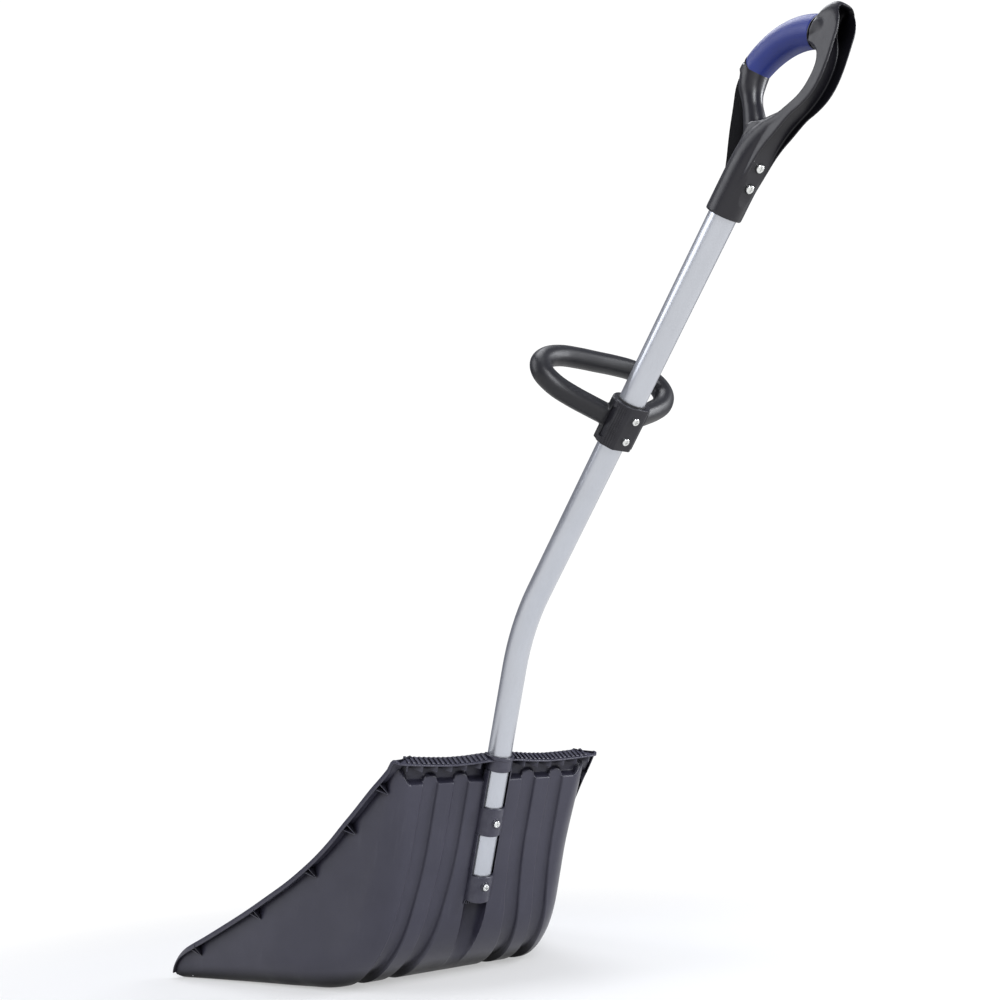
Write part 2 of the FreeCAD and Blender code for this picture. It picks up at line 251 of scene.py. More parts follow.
def plastic(name, dark, light, rough=(0.36, 0.46), grain=900.0, bump=0.12, wear_and_highlight=0.0, sheen=0.0, spec=0.5, streak=0.0, painted_ao_shade=0.0, painted_ao_shade_dist=0.03,
            wear_and_highlight_col=(0.16, 0.165, 0.18)):
    """moulded plastic: cloudy tone, fine spark-eroded grain, scuffed edges that are also lightened as a painted
    highlight, and painted shade from ambient occlusion in deep corners
    """
    m, nt, bs = mat_new(name)
    L = nt.links.new
    co = node(nt, "ShaderNodeTexCoord")
    cloud = node(nt, "ShaderNodeTexNoise", i_Scale=9.0, i_Detail=5.0, i_Roughness=0.6)
    L(co.outputs["Object"], cloud.inputs["Vector"])
    rc = ramp(nt, [(0.3, dark), (0.72, light)])
    L(cloud.outputs["Fac"], rc.inputs["Fac"])
    col = rc.outputs["Color"]
    if streak:
        mp = node(nt, "ShaderNodeMapping")
        mp.inputs["Scale"].default_value = (60.0, 5.0, 5.0)
        L(co.outputs["Object"], mp.inputs["Vector"])
        st = node(nt, "ShaderNodeTexNoise", i_Scale=3.0, i_Detail=3.0)
        L(mp.outputs["Vector"], st.inputs["Vector"])
        rs = ramp(nt, [(0.62, (0, 0, 0)), (0.78, (1, 1, 1))])
        L(st.outputs["Fac"], rs.inputs["Fac"])
        sc = node(nt, "ShaderNodeMath", operation="MULTIPLY")
        sc.inputs[1].default_value = streak
        L(rs.outputs["Color"], sc.inputs[0])
        mx = node(nt, "ShaderNodeMix", data_type="RGBA")
        L(sc.outputs[0], mx.inputs["Factor"])
        L(col, mx.inputs["A"])
        mx.inputs["B"].default_value = (*wear_and_highlight_col, 1)
        col = mx.outputs["Result"]
    # convex edges are mixed towards a lighter colour: partly scuffing, partly a painted highlight along the edges
    if wear_and_highlight:
        geo = node(nt, "ShaderNodeNewGeometry")
        rp = ramp(nt, [(0.515, (0, 0, 0)), (0.60, (1, 1, 1))])
        L(geo.outputs["Pointiness"], rp.inputs["Fac"])
        nz = node(nt, "ShaderNodeTexNoise", i_Scale=70.0, i_Detail=6.0, i_Roughness=0.7)
        L(co.outputs["Object"], nz.inputs["Vector"])
        rn = ramp(nt, [(0.42, (0, 0, 0)), (0.68, (1, 1, 1))])
        L(nz.outputs["Fac"], rn.inputs["Fac"])
        mu = node(nt, "ShaderNodeMath", operation="MULTIPLY")
        L(rp.outputs["Color"], mu.inputs[0])
        L(rn.outputs["Color"], mu.inputs[1])
        mu2 = node(nt, "ShaderNodeMath", operation="MULTIPLY")
        mu2.inputs[1].default_value = wear_and_highlight
        L(mu.outputs[0], mu2.inputs[0])
        mx = node(nt, "ShaderNodeMix", data_type="RGBA")
        L(mu2.outputs[0], mx.inputs["Factor"])
        L(col, mx.inputs["A"])
        mx.inputs["B"].default_value = (*wear_and_highlight_col, 1)
        col = mx.outputs["Result"]
    if painted_ao_shade:
        # painted shade: ambient occlusion darkens the colour and dulls the reflection in deep corners and recesses
        painted_shade_ao_node = node(nt, "ShaderNodeAmbientOcclusion", samples=8)
        painted_shade_ao_node.inputs["Distance"].default_value = painted_ao_shade_dist
        ra = ramp(nt, [(0.30, (1 - painted_ao_shade, 1 - painted_ao_shade, 1 - painted_ao_shade)), (0.85, (1, 1, 1))])
        L(painted_shade_ao_node.outputs["AO"], ra.inputs["Fac"])
        mx = node(nt, "ShaderNodeMix", data_type="RGBA", blend_type="MULTIPLY")
        mx.inputs["Factor"].default_value = 1.0
        L(col, mx.inputs["A"])
        L(ra.outputs["Color"], mx.inputs["B"])
        col = mx.outputs["Result"]
        ms = node(nt, "ShaderNodeMath", operation="MULTIPLY")
        ms.inputs[1].default_value = spec
        L(ra.outputs["Color"], ms.inputs[0])
        L(ms.outputs[0], bs.inputs["Specular IOR Level"])
    L(col, bs.inputs["Base Color"])
    rnz = node(nt, "ShaderNodeTexNoise", i_Scale=45.0, i_Detail=6.0, i_Roughness=0.65)
    L(co.outputs["Object"], rnz.inputs["Vector"])
    mr = node(nt, "ShaderNodeMapRange")
    mr.inputs["From Min"].default_value, mr.inputs["From Max"].default_value = 0.3, 0.7
    mr.inputs["To Min"].default_value, mr.inputs["To Max"].default_value = rough
    L(rnz.outputs["Fac"], mr.inputs["Value"])
    L(mr.outputs["Result"], bs.inputs["Roughness"])
    g1 = node(nt, "ShaderNodeTexNoise", i_Scale=grain, i_Detail=2.0, i_Roughness=0.5)
    L(co.outputs["Object"], g1.inputs["Vector"])
    g2 = node(nt, "ShaderNodeTexNoise", i_Scale=grain * 0.06, i_Detail=3.0)
    L(co.outputs["Object"], g2.inputs["Vector"])
    b2 = node(nt, "ShaderNodeBump", i_Strength=bump * 0.6, i_Distance=0.0006)
    L(g2.outputs["Fac"], b2.inputs["Height"])
    b1 = node(nt, "ShaderNodeBump", i_Strength=bump, i_Distance=0.0002)
    L(g1.outputs["Fac"], b1.inputs["Height"])
    L(b2.outputs["Normal"], b1.inputs["Normal"])
    L(b1.outputs["Normal"], bs.inputs["Normal"])
    if not painted_ao_shade:
        bs.inputs["Specular IOR Level"].default_value = spec
    if sheen:
        bs.inputs["Sheen Weight"].default_value = sheen
        bs.inputs["Sheen Roughness"].default_value = 0.4
    return m


def metal(name, base, rough, scale_v, bump=0.03, metallic=1.0, tint=0.08, tilt=0.0):
    """drawn or plated metal: fine lines along the piece, slight tone changes"""
    m, nt, bs = mat_new(name)
    L = nt.links.new
    co = node(nt, "ShaderNodeTexCoord")
    mp = node(nt, "ShaderNodeMapping")
    mp.inputs["Rotation"].default_value = (tilt, 0, 0)
    mp2 = node(nt, "ShaderNodeMapping")
    mp2.inputs["Scale"].default_value = scale_v
    L(co.outputs["Object"], mp.inputs["Vector"])
    L(mp.outputs["Vector"], mp2.inputs["Vector"])
    nz = node(nt, "ShaderNodeTexNoise", i_Scale=1.0, i_Detail=4.0, i_Roughness=0.6)
    L(mp2.outputs["Vector"], nz.inputs["Vector"])
    cl = node(nt, "ShaderNodeTexNoise", i_Scale=14.0, i_Detail=5.0)
    L(co.outputs["Object"], cl.inputs["Vector"])
    b = base
    rc = ramp(nt, [(0.3, tuple(c * (1 - tint) for c in b)), (0.7, tuple(min(1, c * (1 + tint * 0.5)) for c in b))])
    ad = node(nt, "ShaderNodeMath", operation="ADD")
    hl = node(nt, "ShaderNodeMath", operation="MULTIPLY")
    hl.inputs[1].default_value = 0.5
    L(nz.outputs["Fac"], ad.inputs[0])
    L(cl.outputs["Fac"], ad.inputs[1])
    L(ad.outputs[0], hl.inputs[0])
    L(hl.outputs[0], rc.inputs["Fac"])
    L(rc.outputs["Color"], bs.inputs["Base Color"])
    mr = node(nt, "ShaderNodeMapRange")
    mr.inputs["From Min"].default_value, mr.inputs["From Max"].default_value = 0.3, 0.7
    mr.inputs["To Min"].default_value, mr.inputs["To Max"].default_value = rough
    L(hl.outputs[0], mr.inputs["Value"])
    L(mr.outputs["Result"], bs.inputs["Roughness"])
    bp = node(nt, "ShaderNodeBump", i_Strength=bump, i_Distance=0.0002)
    L(nz.outputs["Fac"], bp.inputs["Height"])
    L(bp.outputs["Normal"], bs.inputs["Normal"])
    bs.inputs["Metallic"].default_value = metallic
    return m


# the edge lightening set here is scuffing plus a painted highlight; the corner darkening is painted shade
M_SCOOP = plastic("scoop_pp", (0.0235, 0.0228, 0.0375), (0.0335, 0.0325, 0.0505), rough=(0.30, 0.41), grain=1100, bump=0.10,
                  wear_and_highlight=0.40, streak=0.10, spec=0.46, painted_ao_shade=0.90, painted_ao_shade_dist=0.032, wear_and_highlight_col=(0.10, 0.10, 0.12))
M_HANDLE = plastic("handle_pp", (0.0055, 0.0052, 0.0080), (0.0095, 0.0090, 0.0130), rough=(0.30, 0.40), grain=1400, bump=0.08,
                   wear_and_highlight=0.25, spec=0.42, painted_ao_shade=0.95, painted_ao_shade_dist=0.030, wear_and_highlight_col=(0.06, 0.06, 0.066))
M_RING = plastic("ring_pp", (0.008, 0.008, 0.010), (0.013, 0.013, 0.016), rough=(0.34, 0.44), grain=1500, bump=0.12,
                 wear_and_highlight=0.2, spec=0.36, wear_and_highlight_col=(0.06, 0.06, 0.066))
M_CLAMP = plastic("clamp_pp", (0.0060, 0.0058, 0.0090), (0.0105, 0.0100, 0.0145), rough=(0.36, 0.46), grain=1400, bump=0.10,
                  wear_and_highlight=0.3, spec=0.36, wear_and_highlight_col=(0.07, 0.07, 0.078))
M_GRIP = plastic("grip_tpe", (0.010, 0.018, 0.122), (0.015, 0.027, 0.170), rough=(0.36, 0.46), grain=1300, bump=0.14,
                 wear_and_highlight=0.12, sheen=0.0, spec=0.36, wear_and_highlight_col=(0.08, 0.10, 0.28))
# darker, duller copy of the handle plastic: painted shade for the web deep in the front arm's hollow
M_WEB_PAINTED_SHADE = plastic("handle_web_painted_shade", (0.0022, 0.0022, 0.0030), (0.0038, 0.0038, 0.0050), rough=(0.70, 0.82), grain=1000, bump=0.25, spec=0.07)
M_LINER = plastic("liner_rubber", (0.020, 0.020, 0.021), (0.035, 0.035, 0.036), rough=(0.6, 0.75), grain=900, bump=0.2)
M_PLUG = plastic("plug_pe", (0.014, 0.014, 0.016), (0.022, 0.022, 0.025), rough=(0.45, 0.55), grain=900, bump=0.1)
M_TUBE = metal("drawn_aluminium", (0.505, 0.522, 0.562), (0.27, 0.36), (1400.0, 1400.0, 14.0), bump=0.05, tint=0.07,
               metallic=0.86, tilt=radians(35.0))
M_SCREW = metal("zinc_screw", (0.74, 0.75, 0.74), (0.18, 0.32), (300.0, 300.0, 300.0), bump=0.05, tint=0.14)
M_EDGE = metal("edge_steel", (0.62, 0.62, 0.63), (0.28, 0.44), (6.0, 500.0, 500.0), bump=0.08, tint=0.16)
M_RIVET = metal("rivet_alu", (0.72, 0.72, 0.73), (0.22, 0.36), (260.0, 260.0, 260.0), bump=0.05, tint=0.12)
MATS = {"scoop_plastic": M_SCOOP, "handle_plastic": M_HANDLE, "ring_plastic": M_RING, "clamp_plastic": M_CLAMP,
        "grip_rubber": M_GRIP, "liner_rubber": M_LINER, "plug_plastic": M_PLUG, "shaft_aluminium": M_TUBE,
        "screw_steel": M_SCREW, "edge_metal": M_EDGE, "rivet_metal": M_RIVET}


def finish_piece(ob, body, slot, *nodes, mat=None):
    ob.data.materials.clear()
    ob.data.materials.append(mat or MATS[slot])
    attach(ob, body)
    if nodes:
        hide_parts(*nodes)
    return ob


for nname, slot in {"shaft_tube": "shaft_aluminium", "tube_end_plug": "plug_plastic", "scoop_screws": "screw_steel",
                    "handle_screws": "screw_steel", "clamp_screws": "screw_steel", "clamp_liner": "liner_rubber",
                    "blade_edge_strip": "edge_metal", "strip_rivets": "rivet_metal"}.items():
    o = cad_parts[nname]
    for sl in o.material_slots:
        sl.material = MATS[slot]

# ---------------------------------------------------------------- scoop
RIM_S, WALL_N, HR, HY = -179.0, 3.4, 148.0, 113.1
THICK = 4.0
TOP = [(345.0, 292.0), (332.0, 291.8), (321.0, 281.5), (306.7, 270.5), (289.0, 258.0), (272.9, 245.6), (252.0, 229.0),
       (232.6, 214.3), (205.0, 192.5), (177.2, 173.1), (148.0, 155.5), (118.0, 139.1), (78.0, 119.9), (36.0, 100.0),
       (-7.0, 81.0), (-52.0, 61.5), (-97.5, 42.3), (-118.0, 30.0), (-129.0, 17.0), (-132.0, 6.0)]
TOP_S = catmull(TOP, k=5)
TY = np.array([p[0] for p in TOP_S])[::-1]
TZ = np.array([p[1] for p in TOP_S])[::-1]


def z_top(y):
    return float(np.interp(y, TY, TZ))


def half_w(y):
    u = max(0.0, 320.0 - y)
    return 160.0 + 0.25 * u + 0.00012 * u * u


def slope_w(y):
    u = max(0.0, 320.0 - y)
    return 0.25 + 0.00024 * u if u > 0 else 0.0


def tuck(y):
    """the wall draws further in below the flange towards the back"""
    return 8.0 * sstep(50.0, 175.0, y)


def wall_x(y, z):
    """outer face of the side wall: flares forwards, leans out upwards"""
    return half_w(y) - 11.0 - tuck(y) * sstep(6.0, 85.0, z_top(y) - z) - 0.095 * max(0.0, z_top(y) - z)


L_WALL = 212.6
A0 = radians(-23.154)
L_ARC = HR * (radians(90) + A0)
L_FLOOR = 113.1 + 118.0
L_NOSE = 15.0
L_ALL = L_WALL + L_ARC + L_FLOOR + L_NOSE


def profile(q):
    """outer base point (y, z) and outward normal at q mm below the rim"""
    if q <= L_WALL:
        p = low(0, WALL_N, RIM_S - q)
        return (p[1], p[2]), (CL, -SL)
    if q <= L_WALL + L_ARC:
        a = A0 - (q - L_WALL) / HR
        return (HY + HR * cos(a), HR + HR * sin(a)), (cos(a), sin(a))
    y = HY - (q - L_WALL - L_ARC)
    k = q - (L_WALL + L_ARC + L_FLOOR)
    if k <= 0:
        return (y, 0.0), (0.0, -1.0)
    t = k / L_NOSE          # the nose curls up a little to the front edge
    return (-118.0 - 13.6 * sin(t * pi / 2 * 0.98), 5.0 * (1 - cos(t * pi / 2)) ** 1.3), (-sin(t * 0.9), -cos(t * 0.9))


def ray_dir(q):
    a = 187.0
    if q < 60:
        a = lerp(187.0, 156.85, sstep(0, 60, q))
    elif q < 150:
        a = 156.85
    else:
        a = lerp(156.85, 90.0, 0.55 * sstep(150, 505, q) + 0.45 * min(1.0, (q - 150) / 355.0))
    a = radians(a)
    return (cos(a), sin(a))


def corner_r(q):
    return float(np.interp(q, [0, 50, 180, 300, 400, 470, 560, L_ALL - 12, L_ALL], [14.0, 17.0, 26.0, 36.0, 36.0, 30.0, 20.0, 13.0, 5.0]))


def base_point(q, u):
    (by, bz), (ny, nz) = profile(q)
    dy, dz = ray_dir(q)
    r = corner_r(q)
    w0 = wall_x(by, bz)
    f = w0 - r
    if u <= f:
        return (u, by, bz), (0.0, ny, nz)
    if u <= f + r * pi / 2:
        ph = (u - f) / r
        h = r * (1 - cos(ph))
        y, z = by + dy * h, bz + dz * h
        x = wall_x(y, z) - r + r * sin(ph)
        nx = sin(ph)
        v = np.array((nx, ny * cos(ph) + nx * slope_w(y), nz * cos(ph)))
        return (x, y, z), tuple(v / np.linalg.norm(v))
    h = r + (u - f - r * pi / 2)
    y, z = by + dy * h, bz + dz * h
    v = np.array((1.0, slope_w(y), -0.095))
    return (wall_x(y, z), y, z), tuple(v / np.linalg.norm(v))


def u_end(q):
    (by, bz), _ = profile(q)
    r = corner_r(q)
    f = wall_x(by, bz) - r
    u, stepu = f, 0.5
    while u < f + 420:
        (x, y, z), _ = base_point(q, u)
        if z > z_top(y) - 2.0:
            break
        u += stepu
    return max(u, f + 0.4)


def fan(q):
    return 23.0 * sstep(110, 360, q)


def fan_u(u0, q):
    k = min(1.0, max(0.0, (u0 - 24.0) / 18.0))
    return u0 + fan(q) * k


def relief(q, u0, u):
    """outward offset of the outer face; u0 is the column's place at the rim"""
    s = RIM_S - q
    RD = 9.5
    # strips stand proud of the recess under the rim
    edge = lerp(131.0, 152.0, min(1.0, max(0.0, (s + 208.0) / 26.0)))
    in_recess = 1.0 - sstep(edge - 3.2, edge + 1.0, u0)
    e = sstep(-203.0, -210.5, s)
    val = -RD * (1 - e) * in_recess
    fade = 1.0 - sstep(400, 480, q)
    depth = lerp(4.0, 8.0, sstep(150, 370, q))
    for a, b in ((42.0, 64.0), (88.0, 110.0)):
        c, hw = (a + b) / 2, (b - a) / 2
        lat = sstep(a - 1.3, a + 2.0, u0) * (1 - sstep(b - 2.0, b + 1.3, u0))
        if lat > 0:
            d = min(1.0, abs(u0 - c) / hw)
            top = -196.5 - 7.5 * (1 - sqrt(max(0.0, 1 - d * d)))
            eg = sstep(top + 1.2, top - 4.0, s)
            g = lerp(-RD, -depth - 0.8 * (1 - d * d), eg)
            val = lerp(val, g * (fade if q > 300 else 1.0), lat)
    # channel round the tube
    if u0 < 24.0:
        deep = 1.0 - sstep(236, 322, q)
        rr = lerp(17.9, 11.0, sstep(214, 322, q))
        if abs(u0) < rr:
            n = -sqrt(max(0.0, rr * rr - u0 * u0)) - 3.4
            n = n * deep
        else:
            n = val
        k = 1 - sstep(rr - 0.4, rr + 1.0, abs(u0))
        val = lerp(val, min(n, val), max(0.0, k))
    return val


def rows_q():
    q = [0.0, 0.8]
    while q[-1] < 40:
        q.append(q[-1] + 1.15)
    while q[-1] < L_WALL - 2:
        q.append(q[-1] + 4.0)
    while q[-1] < L_WALL + L_ARC - 2:
        q.append(q[-1] + 4.0)
    while q[-1] < L_ALL - L_NOSE - 3:
        q.append(q[-1] + 5.0)
    for i in range(1, 7):
        q.append(L_ALL - L_NOSE + L_NOSE * i / 6.0 - 0.001)
    return q


cols = [0.0, 2.5, 5.0, 7.5, 9.0, 10.5, 12.0, 13.5, 15.0, 16.2, 17.0, 17.6, 18.2, 19.0, 21.0, 24.0, 28.0, 33.0, 38.0]
for a, b in ((42.0, 64.0), (88.0, 110.0)):
    cols += [a - 2.2, a - 1.3, a - 0.5, a + 0.35, a + 1.2, a + 2.0, a + 3.2, a + 6, a + 8.5, a + 11, b - 8.5, b - 6, b - 3.2, b - 2.0, b - 1.2, b - 0.35, b + 0.5, b + 1.3, b + 2.2]
    cols += [b + 5.5, b + 10, b + 15] if b < 100 else []
cols = sorted(cols)
cols = [c for c in cols if c <= 112.3]
NC, NT = len(cols), 34
QS = rows_q()
outer, inner = [], []
for q in QS:
    ue = u_end(q)
    start = fan_u(cols[-1], q)
    ro, ri = [], []
    for j in range(NC + NT):
        if j < NC:
            u0 = cols[j]
            u = min(fan_u(u0, q), ue - 0.4 * (NC - j) / NC) if fan_u(u0, q) > ue - 1 else fan_u(u0, q)
        else:
            t = (j - NC + 1) / NT
            u = lerp(start, ue, t) if ue > start + 1 else ue - 0.3 * (1 - t)
            u0 = u - fan(q)
        (x, y, z), nn = base_point(q, u)
        rel = relief(q, u0, u)
        ro.append(tuple(np.array((x, y, z)) + np.array(nn) * rel))
        ri.append(tuple(np.array((x, y, z)) + np.array(nn) * (rel - THICK)))
    outer.append(ro)
    inner.append(ri)


def mirror(row):
    return [(-p[0], p[1], p[2]) for p in reversed(row[1:])] + list(row)


outer = [mirror(r) for r in outer]
inner = [mirror(r) for r in inner]
for r in inner[-3:]:       # keep the nose from folding below the floor
    for i, p in enumerate(r):
        r[i] = (p[0], p[1], max(p[2], 3.2))
nr, nc = len(outer), len(outer[0])
verts = [p for r in outer for p in r] + [p for r in inner for p in r]
off = nr * nc
faces = []
for i in range(nr - 1):
    for j in range(nc - 1):
        a = i * nc + j
        faces.append((a, a + 1, a + nc + 1, a + nc))
        faces.append((off + a + nc, off + a + nc + 1, off + a + 1, off + a))
for j in range(nc - 1):
    faces.append((off + j, off + j + 1, j + 1, j))
    a = (nr - 1) * nc + j
    faces.append((a, a + 1, off + a + 1, off + a))
for i in range(nr - 1):
    a = i * nc
    faces.append((a, a + nc, off + a + nc, off + a))
    a = i * nc + nc - 1
    faces.append((off + a, off + a + nc, a + nc, a))
shell = MB()
shell.add(verts, faces)
sc = shell.obj("scoop", angle=48)
finish_piece(sc, "shovel", "scoop_plastic", "scoop_shell")

# ---- rim flange and side flanges: one ribbon right round the back
tr = MB()


def s_rim(x):
    return float(np.interp(abs(x), [0, 22, 50, 75, 100, 130, 152, 160], [-173.4, -173.6, -176.2, -177.2, -176.3, -174.4, -172.6, -172.4]))


pairs = []
ys = [p for p in TOP_S if -131.5 <= p[0] <= 320][::-1]
for k, (y, z) in enumerate(ys):
    w = half_w(y)
    j0, j1 = max(0, k - 1), min(len(ys) - 1, k + 1)
    ey, ez = ys[j1][0] - ys[j0][0], ys[j1][1] - ys[j0][1]
    l = hypot(ey, ez)
    D = np.array((0.0, ez / l, -ey / l))
    taper = sstep(-134, -84, y)
    pairs.append((np.array((w - 7.5 * (1 - taper), y, z)), np.array((w - 15.2, y, z + 0.2)), D, lerp(0.35, 1.0, taper)))
Dl = np.array(low(0, 0, -1)) - np.array(low(0, 0, 0))
o_out = [((160.0, 327.5, 287.5), (138.0, 325.0, 288.6)), ((159.6, 332.6, 289.6), (134.0, 326.5, 291.6)),
         ((158.2, 337.8, 288.2), (130.0, 328.0, 293.0))]
for i, (o_, i_) in enumerate(o_out):
    t = (i + 1) / 4.0
    d = pairs[-1][2] if i == 0 else d0 * (1 - t) + Dl * t
    if i == 0:
        d0 = d
    d = d0 * (1 - t) + Dl * t
    pairs.append((np.array(o_), np.array(i_), d / np.linalg.norm(d), 1.0 - 0.58 * t))
xs = [155.0, 150.0, 144.0] + [136.0 - 8.0 * i for i in range(18)]
for x in xs:
    xi = 126.0 + (x - 126.0) * 0.13 if x > 126 else x
    pairs.append((np.array(low(x, 12.6 if x < 153 else 11.2, s_rim(x) - 3.8)), np.array(low(xi, -9.5, s_rim(x) - 1.4)), Dl, 0.30))
full = pairs + [(np.array((-o[0], o[1], o[2])), np.array((-i[0], i[1], i[2])), np.array((-d[0], d[1], d[2])), h) for o, i, d, h in reversed(pairs[:-1])]
rings = []
for o, i, d, h in full:
    w = (o - i)
    wl = np.linalg.norm(w)
    w = w / wl
    ring = []
    # top face with a raised bead at its outer edge, rounded edge, turned-down lip, underside
    for a, b in ((0.0, 0.0), (wl - 3.8, 0.0), (wl - 3.1, -0.5 * h), (wl - 1.3, -0.7 * h), (wl - 0.35, -0.3 * h), (wl, 0.7 * h),
                 (wl, 5.4 * h), (wl - 0.4, 6.2 * h), (wl - 1.2, 6.5 * h), (wl - 2.0, 6.1 * h), (wl - 2.3, 5.0 * h),
                 (wl - 2.5, 3.2 * h), (0.0, 3.2 * h)):
        ring.append(tuple(i + w * a + d * b))
    rings.append(ring)
tr.loft(rings)

# teeth across the rim's top face
x = 25.0
while x < 139.0:
    for sx in (1, -1):
        sl = 1.6
        xc = sx * x
        pts = []
        for (dx, n) in ((-1.7, -7.4), (1.7, -7.4), (1.7, 10.6), (-1.7, 10.6)):
            xx = xc + dx + sl * (n + 7.4) / 18.0
            base = s_rim(xx) - 2.4 * (n + 9.5) / 22.1
            pts.append((xx, n, base))
        cx = sum(p[0] for p in pts) / 4
        cn = sum(p[1] for p in pts) / 4
        tr.loft([[low(a, b, c - 2.4) for a, b, c in pts], [low(a, b, c - 0.2) for a, b, c in pts],
                 [low(a + (0.35 if a < cx else -0.35), b + (0.7 if b < cn else -0.7), c + 0.45) for a, b, c in pts]])
    x += 7.1

# zigzag stiffening web under the rim
for sx in (1, -1):
    zz, k = [], 0
    x = 24.0
    while x < 150.0:
        zz.append((sx * x, 11.6 if k % 2 else -5.0))
        x += 10.8
        k += 1
    for (xa, na), (xb, nb) in zip(zz[:-1], zz[1:]):
        dx, dn = xb - xa, nb - na
        l = hypot(dx, dn)
        px, pn = -dn / l * 0.9, dx / l * 0.9
        poly = [(xa + px, na + pn), (xb + px, nb + pn), (xb - px, nb - pn), (xa - px, na - pn)]
        tr.loft([[low(a, b, s_rim(a) - 4.4) for a, b in poly], [low(a, b, s_rim(a) - 13.0) for a, b in poly]])

# V gussets under the side flanges: two thin ribs from a point on the wall out to the lip
for gy in (296.0, 232.6, 157.0, 45.0, -80.0):
    zt = z_top(gy)
    e1 = np.array((0.0, 6.0, z_top(gy + 3) - z_top(gy - 3)))
    e1 /= np.linalg.norm(e1)
    Dn = np.array((0.0, e1[2], -e1[1]))
    if Dn[2] > 0:
        Dn = -Dn
    for sx in (1, -1):
        w = half_w(gy)
        P = np.array((0.0, gy, zt))
        apex = P + Dn * 17.0 - e1 * 1.5 + np.array((sx * (w - 12.6), 0, 0))
        for k in (-1, 1):
            lip = P + Dn * 6.2 + e1 * 6.0 * k + np.array((sx * (w - 1.6), 0, 0))
            lipt = P + Dn * 2.6 + e1 * 6.0 * k + np.array((sx * (w - 1.6), 0, 0))
            wt = P + Dn * 2.6 + e1 * 1.6 * k - e1 * 1.0 + np.array((sx * (w - 12.2), 0, 0))
            ap = apex + e1 * 0.5 * k + np.array((-sx * 0.6, 0, 0))
            tr.slab([lipt, lip, ap, wt], tuple(e1 * 1.3))

fl = tr.obj("scoop_flanges", angle=30)
finish_piece(fl, "shovel", "scoop_plastic", "scoop_shell")

# ---- tube socket: rails, collar, straps
so = MB()


def arc_band(r0, r1, a0, a1, s0, s1, flat=None, seg=40, fn=low):
    """part ring round the tube between two radii, angles from the x axis towards the back"""
    po, pi_ = [], []
    for i in range(seg + 1):
        a = radians(lerp(a0, a1, i / seg))
        x, n = r1 * cos(a), r1 * sin(a)
        if flat is not None and n > flat:
            n = flat
        po.append((x, n))
        pi_.append((r0 * cos(a), r0 * sin(a)))
    poly = po + pi_[::-1]
    return poly


def band(mb, r0, r1, a0, a1, s0, s1, flat=None, ch=0.7, fn=low):
    rings = []
    for s, k in ((s0, ch), (s0 + ch, 0.0), (s1 - ch, 0.0), (s1, ch)):
        rings.append([fn(x, n, s) for x, n in arc_band(r0 + k * 0.3, r1 - k, a0, a1, s0, s1, flat - k if flat else None)])
    mb.loft(rings)


band(so, 16.25, 18.9, -20, 200, -193.0, -176.0)
band(so, 16.25, 20.0, -25, 205, -177.5, -173.0, ch=0.8)
for s0, s1 in ((-281.0, -243.0), (-373.2, -337.0)):
    band(so, 16.25, 19.3, -14, 194, s0, s1)
for ss in (-262.0, -350.0):      # flat boss under each screw
    rb = []
    for n_, r_ in ((16.6, 6.6), (19.4, 6.3), (19.95, 5.8)):
        rb.append([low(r_ * cos(2 * pi * i / 36), n_, ss + r_ * sin(2 * pi * i / 36)) for i in range(36)])
    so.loft(rb)
# rails beside the windows
for s0, s1 in ((-243.6, -192.4), (-337.6, -280.4)):
    for sx in (1, -1):
        poly = [(sx * 16.9, 0.0), (sx * 16.4, 7.2), (sx * 16.8, 8.6), (sx * 18.0, 8.6), (sx * 18.9, 6.0), (sx * 19.6, 0.0)]
        so.loft([[low(a, b, s0) for a, b in poly], [low(a, b, s1) for a, b in poly]])
# foot of the socket: four short slanted ribs
for i in range(4):
    x0 = 6.0 + i * 3.4
    so.loft([[low(x0, -6.0, -369.0), low(x0 + 1.5, -6.0, -369.0), low(x0 + 1.5, 5.6, -369.0), low(x0, 5.6, -369.0)],
             [low(x0 + 2.4, -6.0, -379.0), low(x0 + 3.9, -6.0, -379.0), low(x0 + 3.9, 4.6, -379.0), low(x0 + 2.4, 4.6, -379.0)]])
sk = so.obj("scoop_socket", angle=32)
finish_piece(sk, "shovel", "scoop_plastic", "scoop_shell")

# ---------------------------------------------------------------- assist ring
ring_ctl = [(19.0, -8.0), (43.0, -18.5), (63.0, -28.0), (82.0, -40.5), (93.0, -57.0), (91.0, -71.5), (77.5, -83.5), (55.0, -91.0),
            (28.0, -93.0), (0.0, -93.0)]
full_ctl = ring_ctl + [(-x, n) for x, n in reversed(ring_ctl[:-1])]
TILT = radians(19.0)
curve = catmull(full_ctl, k=8)
rpts = [up(x, n, 314.0 - n * tan(TILT)) for x, n in curve]
rmb = MB()
tube_along(rmb, rpts, 13.0, seg=48, side=up(0, 0, 1) - np.array(up(0, 0, 0)) if False else tuple(np.array(up(0, 0, 1)) - np.array(up(0, 0, 0))))
